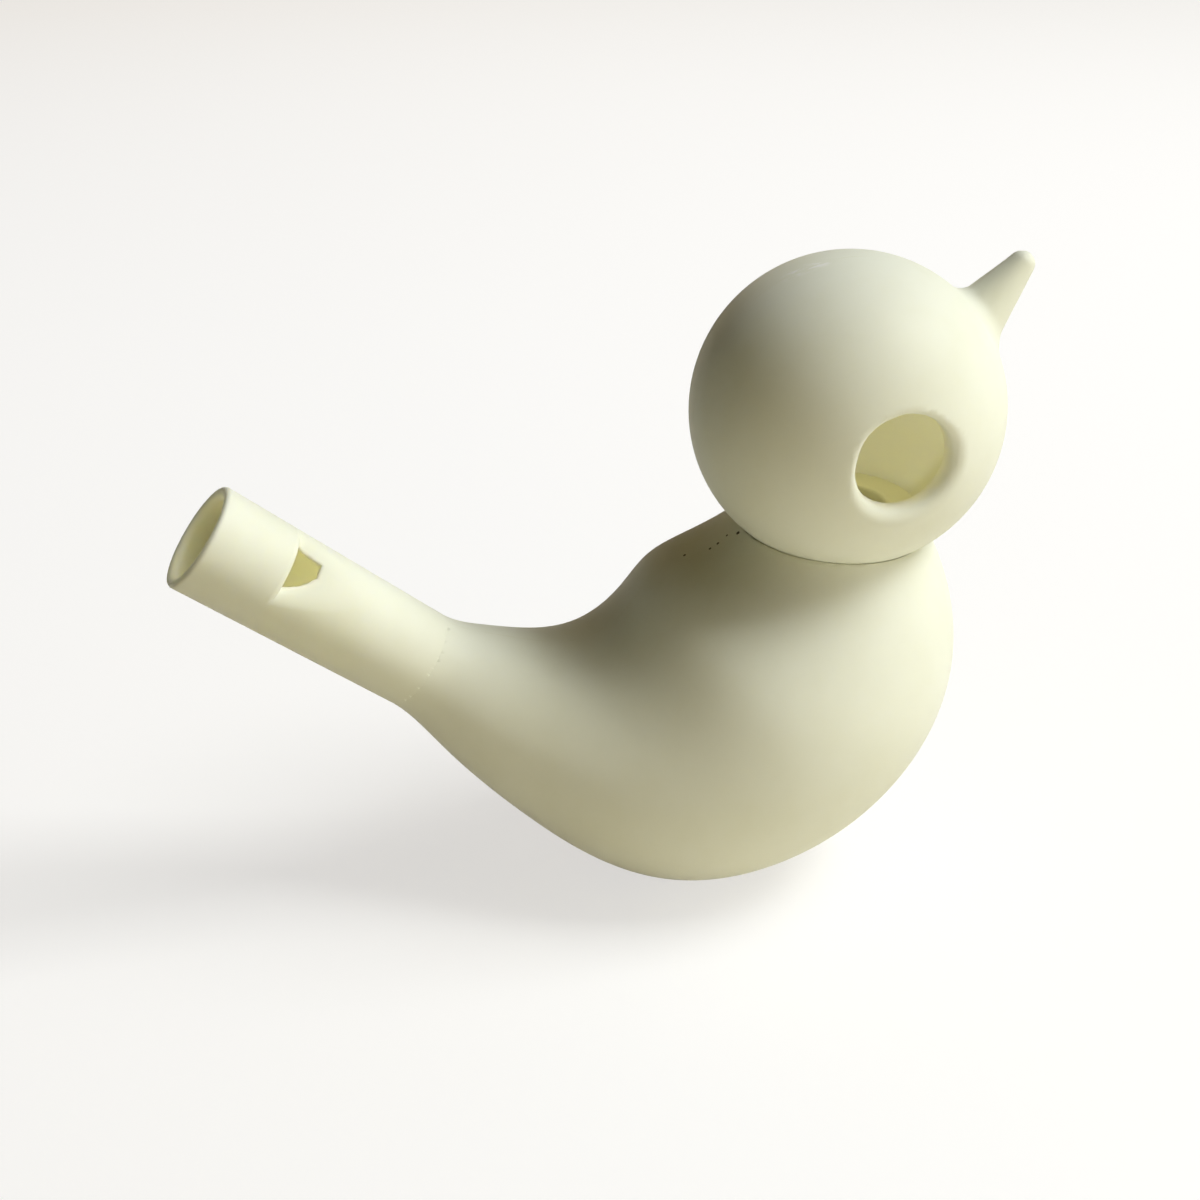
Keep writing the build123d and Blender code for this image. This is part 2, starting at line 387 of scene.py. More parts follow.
def mesh_object(name: str, skin: Skin, side: Side | None = None) -> bpy.types.Object:
    """Make an object from a skin, cut to one half where the piece has two.

    Args:
        name: name of the piece.
        skin: skin of the piece's form, which also gives its shading directions.
        side: half to keep, or None for the whole.

    Returns:
        The new object.
    """
    points, quads = skin.mesh
    mesh = bpy.data.meshes.new(name)
    mesh.from_pydata(points.tolist(), [], quads.tolist())
    flat = keep_half(mesh, side) if side is not None else []
    mesh.shade_smooth()
    corners = np.empty(len(mesh.loops), int)
    mesh.loops.foreach_get("vertex_index", corners)
    place = np.array([v.co for v in mesh.vertices])[corners]
    owner = np.repeat(np.arange(len(mesh.polygons)), [p.loop_total for p in mesh.polygons])
    centre = np.array([p.center for p in mesh.polygons])[owner]
    normal = skin.form.outward(place + CORNER_INSET * (centre - place))
    if side is not None:
        normal[np.isin(owner, flat)] = (0, -side.value, 0)
    mesh.normals_split_custom_set(normal.tolist())
    return put(name, mesh)


def halves(stem: str, skin: Skin) -> list[bpy.types.Object]:
    """Make the two halves of a hollow piece, each in place of its node.

    Args:
        stem: name of the whole.
        skin: skin of the whole.

    Returns:
        Both halves.
    """
    pieces = []
    for side in Side:
        name = f"{stem}_{side.name.lower()}"
        pieces.append(mesh_object(name, skin, side))
        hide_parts(f"{name}_shell")
    return pieces


def cover(pieces: Sequence[bpy.types.Object], finish: bpy.types.Material) -> None:
    """Give pieces their finish."""
    for piece in pieces:
        piece.data.materials.append(finish)


@dataclass(frozen=True)
class Signal:
    """An output socket of a finish's nodes, with arithmetic on values."""

    nodes: "Nodes"
    socket: bpy.types.NodeSocket

    def _math(self, operation: str, first: Level, second: Level) -> "Signal":
        """Add one Math node."""
        return self.nodes.add("ShaderNodeMath", {"operation": operation}, {0: first, 1: second})

    def __add__(self, other: Level) -> "Signal":
        """Sum."""
        return self._math("ADD", self, other)

    def __radd__(self, other: Level) -> "Signal":
        """Sum with a number in front."""
        return self._math("ADD", other, self)

    def __sub__(self, other: Level) -> "Signal":
        """Difference."""
        return self._math("SUBTRACT", self, other)

    def __rsub__(self, other: Level) -> "Signal":
        """Difference from a number in front."""
        return self._math("SUBTRACT", other, self)

    def __mul__(self, other: Level) -> "Signal":
        """Product."""
        return self._math("MULTIPLY", self, other)

    def __rmul__(self, other: Level) -> "Signal":
        """Product with a number in front."""
        return self._math("MULTIPLY", other, self)

    def __abs__(self) -> "Signal":
        """Size without the sign."""
        return self._math("ABSOLUTE", self, 0.0)

    def __or__(self, other: Level) -> "Signal":
        """Larger of two."""
        return self._math("MAXIMUM", self, other)

    def between(self, low: float, high: float) -> "Signal":
        """Smooth rise from 0 at low to 1 at high; high may be the smaller."""
        return self.nodes.add(
            "ShaderNodeMapRange",
            {"interpolation_type": "SMOOTHSTEP"},
            {"Value": self, "From Min": low, "From Max": high},
        )


@dataclass(frozen=True)
class Edge:
    """A flat where a piece ends against the next one."""

    spot: Vector
    outward: Vector


@dataclass(frozen=True)
class Nodes:
    """The node tree of one finish."""

    tree: bpy.types.NodeTree

    def add(
        self, kind: str, settings: dict[str, object], sockets: dict[str | int, object], output: str | int = 0
    ) -> Signal:
        """Add one node.

        Args:
            kind: the node's type.
            settings: its settings, set first.
            sockets: values or links of its inputs, by name or number.
            output: the output to hand back.

        Returns:
            That output.
        """
        node = self.tree.nodes.new(kind)
        for name, value in settings.items():
            setattr(node, name, value)
        for name, value in sockets.items():
            if isinstance(value, Signal):
                self.tree.links.new(value.socket, node.inputs[name])
            else:
                node.inputs[name].default_value = value
        return Signal(self, node.outputs[output])

    def place(self) -> Signal:
        """Place on the piece, in metres."""
        return self.add("ShaderNodeTexCoord", {}, {}, "Object")

    def noise(self, size: float, detail: float, stretch: Tint = (1, 1, 1)) -> Signal:
        """Soft random field from 0 to 1.

        Args:
            size: width of its patches.
            detail: how many finer layers it has.
            stretch: how often it repeats along each axis, next to the others.

        Returns:
            The field.
        """
        where = self.add("ShaderNodeVectorMath", {"operation": "MULTIPLY"}, {0: self.place(), 1: stretch})
        sockets = {"Vector": where, "Scale": 1 / size, "Detail": detail, "Roughness": 0.55}
        return self.add("ShaderNodeTexNoise", {}, sockets)

    def finish(self, shader: Signal) -> None:
        """Send a shader to the material's output."""
        self.tree.links.new(shader.socket, self.tree.nodes["Material Output"].inputs["Surface"])

    def distance(self, spot: Vector) -> Signal:
        """Distance from one spot, in metres."""
        sockets = {0: self.place(), 1: tuple(spot)}
        return self.add("ShaderNodeVectorMath", {"operation": "DISTANCE"}, sockets, "Value")

    def off_edge(self, edge: Edge) -> Signal:
        """Distance from an edge's plane on either side, in metres."""
        sockets = {0: self.place(), 1: tuple(edge.outward)}
        along = self.add("ShaderNodeVectorMath", {"operation": "DOT_PRODUCT"}, sockets, "Value")
        return abs(along - edge.spot.dot(edge.outward))

    def off_axis(self, spot: Vector, axis: Vector) -> Signal:
        """Distance from the line through a spot along an axis, in metres."""
        rel = self.add("ShaderNodeVectorMath", {"operation": "SUBTRACT"}, {0: self.place(), 1: tuple(spot)})
        across = self.add("ShaderNodeVectorMath", {"operation": "CROSS_PRODUCT"}, {0: rel, 1: tuple(axis)})
        return self.add("ShaderNodeVectorMath", {"operation": "LENGTH"}, {0: across}, "Value")

    def mix(self, first: Paint, second: Paint, share: Level) -> Signal:
        """Blend two colours."""
        return self.add("ShaderNodeMix", {"data_type": "RGBA"}, {0: share, 6: first, 7: second}, 2)


def new_material(name: str) -> tuple[bpy.types.Material, Nodes]:
    """New material, and its nodes with nothing but the output."""
    material = bpy.data.materials.new(name)
    material.use_nodes = True
    tree = material.node_tree
    tree.nodes.remove(tree.nodes["Principled BSDF"])
    return material, Nodes(tree)


@dataclass(frozen=True)
class Mark:
    """A small stain on the surface."""

    spot: Vector
    radius: float


@dataclass(frozen=True)
class Hollow:
    """Room inside a piece, whose walls let more light through and get the painted glow colour: round a
    centre, or round an axis where one is given.
    """

    spot: Vector
    outer: float
    inner: float
    axis: Vector | None = None

    def inside(self, nodes: Nodes) -> Signal:
        """Level that is 1 on the walls of the room and 0 outside the piece."""
        if self.axis is None:
            return nodes.distance(self.spot).between(self.outer, self.inner)
        return nodes.off_axis(self.spot, self.axis).between(self.outer, self.inner)


@dataclass
class Coat:
    """Colour, roughness and height of a finish while marks are laid over one another."""

    nodes: Nodes
    colour: Signal
    rough: Signal
    height: Signal

    def lay(self, level: Signal, colour: Colour, cover: float, rise: float, rough: float = 0.0) -> None:
        """Lay one mark over what is there.

        Args:
            level: strength of the mark, from 0 to 1.
            colour: its colour.
            cover: how far it hides what is under it.
            rise: how far it stands out, below zero for a pit.
            rough: how much rougher it is.
        """
        self.colour = self.nodes.mix(self.colour, colour, cover * level)
        self.height = self.height + rise * level
        if rough:
            self.rough = self.rough + rough * level


@dataclass(frozen=True)
class CreamPlastic:
    """Satin cream plastic that lets a little light through, with the marks of moulding and handling, and a
    paler, yellower colour painted on its inner walls as painted glow of the light that comes through them.
    """

    cream: Colour = (0.865, 0.88, 0.765, 1.0)
    shade: Colour = (0.83, 0.84, 0.70, 1.0)
    bloom: Colour = (0.98, 0.98, 0.95, 1.0)
    dirt: Colour = (0.012, 0.010, 0.006, 1.0)
    # Painted glow: a paler, yellower colour laid on inner walls for the light that comes through the thin
    # walls and bounces inside.
    inner: Colour = (0.985, 0.965, 0.76, 1.0)
    mottle: float = 9.0 * MM
    flow: float = 3.5 * MM
    grain: float = 0.35 * MM
    relief: float = 0.05 * MM
    roughness: float = 0.58
    uneven: float = 0.12
    index: float = 1.38
    seam_width: float = 0.16 * MM
    seam_core: float = 0.03 * MM
    seam_gaps: float = 2.2 * MM
    rub_width: float = 1.4 * MM
    rub_core: float = 0.3 * MM
    scratches: float = 0.8 * MM
    depth: float = 8.0 * MM
    travel: Tint = (1.0, 0.92, 0.6)
    share: float = 0.08
    inner_share: float = 1.0
    clear_from: float = 0.6 * MM
    clear_to: float = 3.0 * MM

    def material(
        self,
        name: str,
        edge: Edge,
        hollow: Hollow,
        seam: bool = False,
        marks: Sequence[Mark] = (),
        scuff: Mark | None = None,
    ) -> bpy.types.Material:
        """Make the finish for one piece.

        Args:
            name: name of the material.
            edge: where the piece ends and no light passes on to the next.
            hollow: room inside the piece, whose walls let more light through and are painted the paler inner
                colour as painted glow.
            seam: whether the piece has a moulding line on the middle plane.
            marks: dark specks.
            scuff: pale rubbed stretch of the moulding line, or None.

        Returns:
            The material.
        """
        material, nodes = new_material(name)
        coat = self._moulded(nodes)
        if seam:
            self._seam(coat, scuff)
        for mark in marks:
            stain = nodes.distance(mark.spot).between(mark.radius, 0.6 * mark.radius)
            coat.lay(stain, self.dirt, 0.92, -0.8)
        nodes.finish(self._plastic(coat, edge, hollow))
        return material

    def _moulded(self, nodes: Nodes) -> Coat:
        """Mottled, slightly rippled plastic as it leaves the mould."""
        cloud = nodes.noise(self.mottle, 3.0)
        flow = nodes.noise(self.flow, 4.0, (1.0, 1.0, 0.45))
        grain = nodes.noise(self.grain, 2.0)
        deeper = 0.55 * cloud.between(0.3, 0.75) + 0.3 * flow.between(0.45, 0.8)
        rough = self.roughness + self.uneven * (flow - 0.5) + 0.06 * (grain - 0.5)
        return Coat(nodes, nodes.mix(self.cream, self.shade, deeper), rough, 0.55 * flow + 0.08 * grain)

    def _seam(self, coat: Coat, scuff: Mark | None) -> None:
        """Lay the moulding line and the stretch of it that is rubbed pale.

        Args:
            coat: the finish so far.
            scuff: the rubbed stretch, or None.
        """
        nodes = coat.nodes
        off = abs(nodes.add("ShaderNodeSeparateXYZ", {}, {0: nodes.place()}, "Y"))
        broken = nodes.noise(self.seam_gaps, 3.0).between(0.42, 0.62)
        coat.lay(off.between(self.seam_width, self.seam_core) * broken, self.shade, 0.8, -0.5)
        if scuff is not None:
            rubbed = nodes.distance(scuff.spot).between(scuff.radius, 0.35 * scuff.radius)
            scratch = nodes.noise(self.scratches, 4.0, (0.5, 1.3, 0.5)).between(0.48, 0.6)
            rubbed = rubbed * off.between(self.rub_width, self.rub_core) * scratch
            coat.lay(rubbed, self.bloom, 0.85, 0.25, 0.2)

    def _plastic(self, coat: Coat, edge: Edge, hollow: Hollow) -> Signal:
        """Mix a solid plastic with one that light enters, with the hollow's walls painted paler as painted
        glow.

        Args:
            coat: the finish's colour, roughness and height.
            edge: where the light fades out.
            hollow: room whose walls let the most through, and which is painted the paler inner colour as
                painted glow.

        Returns:
            The mixed shader.
        """
        nodes = coat.nodes
        sockets = {"Strength": 0.25, "Distance": self.relief, "Height": coat.height}
        bump = nodes.add("ShaderNodeBump", {}, sockets)
        within = hollow.inside(nodes)
        clear = nodes.off_edge(edge).between(self.clear_from, self.clear_to)
        passing = (self.share + (self.inner_share - self.share) * within) * clear
        # Inner walls get the paler inner colour: painted glow of the light through the walls.
        surface = {"Base Color": nodes.mix(coat.colour, self.inner, within), "Roughness": coat.rough}
        surface |= {"Normal": bump, "IOR": self.index}
        deep = {"Subsurface Weight": 1.0, "Subsurface Radius": self.travel, "Subsurface Scale": self.depth}
        solid = nodes.add("ShaderNodeBsdfPrincipled", {}, surface)
        glowing = nodes.add("ShaderNodeBsdfPrincipled", {}, surface | deep)
        return nodes.add("ShaderNodeMixShader", {}, {0: passing, 1: solid, 2: glowing})


@dataclass(frozen=True)
class PaleSweep:
    """Pale paper under the bird that keeps its shadow, and for the camera a glowing backdrop with a painted
    pool of light: brightest about a centre, painted darker farther off.
    """

    paper: Colour = (0.69, 0.635, 0.50, 1.0)
    shown: Colour = (0.42, 0.415, 0.41, 1.0)
    # Painted pool of light on the backdrop: the glow near its centre, and the darker glow far off.
    near: Colour = (0.65, 0.645, 0.645, 1.0)
    far: Colour = (0.54, 0.525, 0.51, 1.0)
    unseen: Colour = (0.0, 0.0, 0.0, 1.0)
    inner: float = 80.0 * MM
    outer: float = 700.0 * MM

    def material(self, name: str, centre: Vector) -> bpy.types.Material:
        """Make the paper.

        Args:
            name: name of the material.
            centre: middle of the painted pool of light, where the backdrop is brightest.

        Returns:
            The material.
        """
        material, nodes = new_material(name)
        # Painted falloff of light: the glow darkens from the near colour to the far colour with distance.
        away = nodes.distance(centre).between(self.inner, self.outer)
        path = ("Is Camera Ray", "Is Glossy Ray", "Is Transmission Ray")
        camera, glossy, through = (nodes.add("ShaderNodeLightPath", {}, {}, ray) for ray in path)
        seen = camera | glossy | through
        backdrop = nodes.mix(self.unseen, nodes.mix(self.near, self.far, away), seen)
        colour = nodes.mix(self.paper, self.shown, seen)
        sockets = {"Base Color": colour, "Roughness": 0.9, "Specular IOR Level": 0.0}
        sockets |= {"Emission Color": backdrop, "Emission Strength": 1.0}
        nodes.finish(nodes.add("ShaderNodeBsdfPrincipled", {}, sockets))
        return material


@dataclass(frozen=True)
class Layout:
    """Places that the pieces share, worked out from the head's box in the frame."""

    head_radius: float = 15.15 * MM
    head_ahead: float = 29.5 * MM
    head_above: float = 6.6 * MM
    tail_rise: float = math.radians(38.2)
    tail_reach: float = 21.0 * MM
    window_roll: float = math.radians(41.0)

    @cached_property
    def head(self) -> Vector:
        """Centre of the head's ball."""
        low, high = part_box("head_right_shell")
        return Vector((low.x + self.head_radius, 0, high.z - self.head_radius))

    @cached_property
    def saddle(self) -> Vector:
        """Centre of the back's round hollow, about which the body's sections fan out."""
        return self.head - Vector((self.head_ahead, 0, self.head_above))

    @cached_property
    def tail(self) -> Vector:
        """Direction of the tail, towards its mouth."""
        return Vector((-math.cos(self.tail_rise), 0, math.sin(self.tail_rise)))

    @cached_property
    def top(self) -> Vector:
        """Direction square to the tail on its upper side."""
        return Vector((math.sin(self.tail_rise), 0, math.cos(self.tail_rise)))

    @cached_property
    def facing(self) -> Vector:
        """Direction in which the tail's window opens, from its top towards the bird's right."""
        return self.top * math.cos(self.window_roll) - Vector((0, 1, 0)) * math.sin(self.window_roll)

    @cached_property
    def joint(self) -> Vector:
        """Middle of the flat where the tail's tube meets the body."""
        return self.saddle - self.top * self.tail_reach

    @property
    def seam(self) -> Edge:
        """Middle plane, where the halves meet."""
        return Edge(Vector(), Vector((0, 1, 0)))

    @property
    def joint_edge(self) -> Edge:
        """Flat where the tail's tube meets the body."""
        return Edge(self.joint, self.tail)

    @property
    def middle(self) -> Vector:
        """Middle of the bird, where the lamps point."""
        return (self.head + self.joint) / 2


@dataclass(frozen=True)
class NeckCollar:
    """Flanged bush that both pairs of halves close around."""

    layout: Layout
    radius: float = 6.3 * MM
    wall: float = 1.5 * MM
    flange: float = 7.6 * MM
    thickness: float = 1.2 * MM
    fit: float = 0.03 * MM
    edge: float = 0.25 * MM
    cell: float = 0.35 * MM
    # Radii of the painted glow colour, wide enough to cover the whole collar.
    painted_glow_from: float = 30.0 * MM
    painted_glow_to: float = 20.0 * MM

    @property
    def lands(self) -> tuple[float, float]:
        """Heights of the seats in the body's deck and in the head's wall."""
        low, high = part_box("neck_collar")
        return low.z + self.thickness, high.z - self.thickness

    def upright(self, radius: float, low: float, high: float) -> Form:
        """Bar on the neck's axis between two heights."""
        x = self.layout.head.x
        return rod(Vector((x, 0, low)), Vector((x, 0, high)), radius)

    def way(self) -> Form:
        """Room that the collar takes in the head's wall and in the deck."""
        body_land, head_land = self.lands
        room = self.upright(self.radius + self.fit, body_land - self.thickness, head_land + self.thickness)
        return room | self.upright(self.flange + self.fit, head_land, head_land + 4 * self.thickness)

    def under(self) -> Form:
        """Room for the lower flange in the body."""
        body_land, _ = self.lands
        return self.upright(self.flange + self.fit, body_land - 2 * self.thickness, body_land)

    def form(self) -> Form:
        """The bush with its two flanges, open through the middle."""
        body_land, head_land = self.lands
        bush = self.upright(self.radius, body_land, head_land)
        bush |= self.upright(self.flange, head_land, head_land + self.thickness)
        bush |= self.upright(self.flange, body_land - self.thickness, body_land)
        return bush.carved(self.upright(self.radius - self.wall, body_land - 1, head_land + 1), self.edge)

    def build(self) -> list[bpy.types.Object]:
        """Make the collar's mesh."""
        piece = mesh_object("collar", Skin(self.form(), *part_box("neck_collar"), self.cell))
        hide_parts("neck_collar")
        return [piece]

    def dress(self, pieces: Sequence[bpy.types.Object]) -> None:
        """Give the collar its plastic, painted all over in the paler inner colour as painted glow."""
        # The room reaches past the whole collar, so all of it gets the painted glow colour.
        room = Hollow(self.layout.head, self.painted_glow_from, self.painted_glow_to)
        plastic = CreamPlastic(share=0.0, inner_share=0.0)
        cover(pieces, plastic.material("collar_painted_glow", self.layout.joint_edge, room))


@dataclass(frozen=True)
class Head:
    """Hollow ball in two halves, with an eye opening on each side and the beak moulded on."""

    layout: Layout
    collar: NeckCollar
    wall: float = 2.0 * MM
    eye_radius: float = 4.6 * MM
    eye_rim: float = 1.9 * MM
    eye_brow: float = 0.55 * MM
    eye_lift: float = math.radians(2.2)
    eye_ahead: float = math.radians(3.2)
    beak_place: float = math.radians(34.8)
    beak_aim: float = math.radians(51.3)
    beak_length: float = 6.1 * MM
    beak_root: float = 2.8 * MM
    beak_tip: float = 1.25 * MM
    beak_fillet: float = 1.3 * MM
    scuff_turn: float = math.radians(108.0)
    scuff_reach: float = 3.2 * MM
    cell: float = 0.5 * MM

    @property
    def radius(self) -> float:
        """Radius of the ball."""
        return self.layout.head_radius

    def beak(self) -> Form:
        """Round-tipped cone that leaves the ball at its own slope."""
        place = Vector((math.cos(self.beak_place), 0, math.sin(self.beak_place)))
        aim = np.array((math.cos(self.beak_aim), 0, math.sin(self.beak_aim)))
        tip = np.array(self.layout.head + place * self.radius) + aim * self.beak_length
        slope = math.acos(self.beak_tip / math.hypot(self.beak_root, self.beak_length))
        slope -= math.atan2(self.beak_length, self.beak_root)

        def field(points: np.ndarray) -> np.ndarray:
            """Distance to the cone, or to its round tip."""
            rel = points - tip
            along = rel @ aim
            across = np.linalg.norm(rel - np.outer(along, aim), axis=1)
            cone = across * math.cos(slope) + along * math.sin(slope) - self.beak_tip
            past = along * math.cos(slope) > across * math.sin(slope)
            return np.where(past, np.hypot(across, along) - self.beak_tip, cone)

        root = ball(self.layout.head, self.radius + self.beak_length + 2 * self.beak_root)
        front = side_of(self.layout.head, -place)
        return Form(field) & root & front

    def eye(self, side: Side) -> Form:
        """Bore of one eye, from the ball's centre outward."""
        level = math.cos(self.eye_lift)
        out = Vector((math.sin(self.eye_ahead) * level, side.value * math.cos(self.eye_ahead) * level, 0))
        axis = out + Vector((0, 0, math.sin(self.eye_lift)))
        return rod(self.layout.head, self.layout.head + axis * 2 * self.radius, self.eye_radius)

    def rim(self, points: np.ndarray) -> np.ndarray:
        """Radius of the eyes' rims: crisp under the brow, and flared below and in front."""
        rel = points - np.array(self.layout.head)
        low = np.clip(0.5 + (0.5 * rel[:, 0] - 0.87 * rel[:, 2]) / (1.6 * self.eye_radius), 0, 1)
        return self.eye_brow + (self.eye_rim - self.eye_brow) * low * low * (3 - 2 * low)

    def form(self) -> Form:
        """The ball with its beak, hollowed and opened at the eyes and the neck."""
        shell = ball(self.layout.head, self.radius).fused(self.beak(), self.beak_fillet)
        for side in Side:
            shell = shell.carved(self.eye(side), self.rim)
        return shell - ball(self.layout.head, self.radius - self.wall) - self.collar.way()

    def build(self) -> list[bpy.types.Object]:
        """Make the two halves."""
        low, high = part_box("head_right_shell")
        low.y, high.y = -self.radius, self.radius
        return halves("head", Skin(self.form(), low, high, self.cell))

    def dress(self, pieces: Sequence[bpy.types.Object]) -> None:
        """Give both halves their plastic, rubbed pale on the seam over the crown, with the inside painted
        the paler glow colour.
        """
        crown = Vector((math.cos(self.scuff_turn), 0, math.sin(self.scuff_turn))) * self.radius
        scuff = Mark(self.layout.head + crown, self.scuff_reach)
        # Inner face of the wall gets the painted glow colour.
        room = Hollow(self.layout.head, self.radius - 0.3 * self.wall, self.radius - 0.9 * self.wall)
        cover(pieces, CreamPlastic().material("head_cream", self.layout.seam, room, True, (), scuff))


@dataclass(frozen=True)
class Station:
    """One round section of the body, at an angle of turn from the tail's joint."""

    turn: float
    back: float
    belly: float
    wall: float = 2.0 * MM


@dataclass(frozen=True)
class Body:
    """Hollow body in two halves: round sections that fan out about the centre of the saddle."""

    layout: Layout
    collar: NeckCollar
    stations: tuple[Station, ...] = (
        Station(-1.0, 16.0 * MM, 26.0 * MM, 1.83 * MM),
        Station(0.0, 16.0 * MM, 26.0 * MM, 1.83 * MM),
        Station(17.2, 15.5 * MM, 29.1 * MM),
        Station(34.4, 15.8 * MM, 35.7 * MM),
        Station(51.6, 16.4 * MM, 44.5 * MM),
        Station(68.8, 15.4 * MM, 48.7 * MM),
        Station(86.0, 14.6 * MM, 49.2 * MM),
        Station(103.2, 17.3 * MM, 46.2 * MM),
        Station(120.4, 21.3 * MM, 38.3 * MM),
    )
    seat_radius: float = 15.2 * MM
    floor: float = 2.0 * MM
    seat_edge: float = 0.12 * MM
    base_edge: float = 0.3 * MM
    spigot_radius: float = 4.07 * MM
    spigot_length: float = 6.0 * MM
    windpipe: float = 3.17 * MM
    # Ball inside the body whose walls get the painted glow colour and let more light through.
    room_centre: Vector = Vector((5.0 * MM, 0, 18.0 * MM))
    room_radius: float = 16.9 * MM
    room_fade: float = 0.8 * MM
    specks: tuple[Mark, ...] = (
        Mark(Vector((-15.44, 0.84, -14.68)) * MM, 0.19 * MM),
        Mark(Vector((-13.21, -0.49, -13.48)) * MM, 0.18 * MM),
        Mark(Vector((-12.44, -0.48, -12.98)) * MM, 0.20 * MM),
        Mark(Vector((-11.50, -0.27, -12.29)) * MM, 0.15 * MM),
        Mark(Vector((-10.65, -1.16, -11.66)) * MM, 0.24 * MM),
    )
    cell: float = 0.5 * MM

    def fan(self, depth: float) -> Form:
        """The body's form at a depth in its wall, from 0 outside to 1 inside."""
        turns = [s.turn for s in self.stations]
        middle = smooth_line(turns, [(s.belly + s.back) / 2 for s in self.stations])
        radius = smooth_line(turns, [(s.belly - s.back) / 2 - depth * s.wall for s in self.stations])
        saddle = np.array(self.layout.saddle)
        start = 90 + math.degrees(self.layout.tail_rise)

        def field(points: np.ndarray) -> np.ndarray:
            """Distance to the round section on the plane through each point."""
            rel = points - saddle
            angle = np.degrees(np.arctan2(rel[:, 2], rel[:, 0])) + start
            turn = np.clip((angle + 180) % 360 - 180, turns[0], turns[-1])
            away = np.hypot(rel[:, 0], rel[:, 2]) - middle(turn)
            return np.hypot(away, rel[:, 1]) - radius(turn)

        top = side_of(self.layout.saddle, Vector((0, 0, 1)))
        return Form(field) & top & side_of(self.layout.joint, self.layout.tail)

    def form(self) -> Form:
        """The hollow body with the ball's seat, the flat and the tail's spigot."""
        head, joint = self.layout.head, self.layout.joint
        end = joint + self.layout.tail * self.spigot_length
        deck = ball(head, self.seat_radius + self.floor)
        hollow = self.fan(1.0) - deck - side_of(Vector((0, 0, self.floor)), Vector((0, 0, 1)))
        shell = self.fan(0.0).trimmed(side_of(Vector(), Vector((0, 0, -1))), self.base_edge) - hollow
        shell = shell.carved(ball(head, self.seat_radius), self.seat_edge)
        shell |= rod(joint - self.layout.tail * self.floor, end, self.spigot_radius)
        shell -= rod(joint - self.layout.tail * self.floor, end + self.layout.tail, self.windpipe)
        return shell - self.collar.way() - self.collar.under()

    def build(self) -> list[bpy.types.Object]:
        """Make the two halves."""
        low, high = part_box("body_right_shell")
        high.y = -low.y
        return halves("body", Skin(self.form(), low, high, self.cell))

    def dress(self, pieces: Sequence[bpy.types.Object]) -> None:
        """Give both halves their plastic, with the specks on the back and the inner walls painted the paler
        glow colour.
        """
        skin = self.fan(0.0)
        marks = [Mark(skin.nearest(self.layout.head + speck.spot), speck.radius) for speck in self.specks]
        # Inner walls get the painted glow colour.
        room = Hollow(self.room_centre, self.room_radius, self.room_radius - self.room_fade)
        cover(pieces, CreamPlastic().material("body_cream", self.layout.seam, room, True, marks))


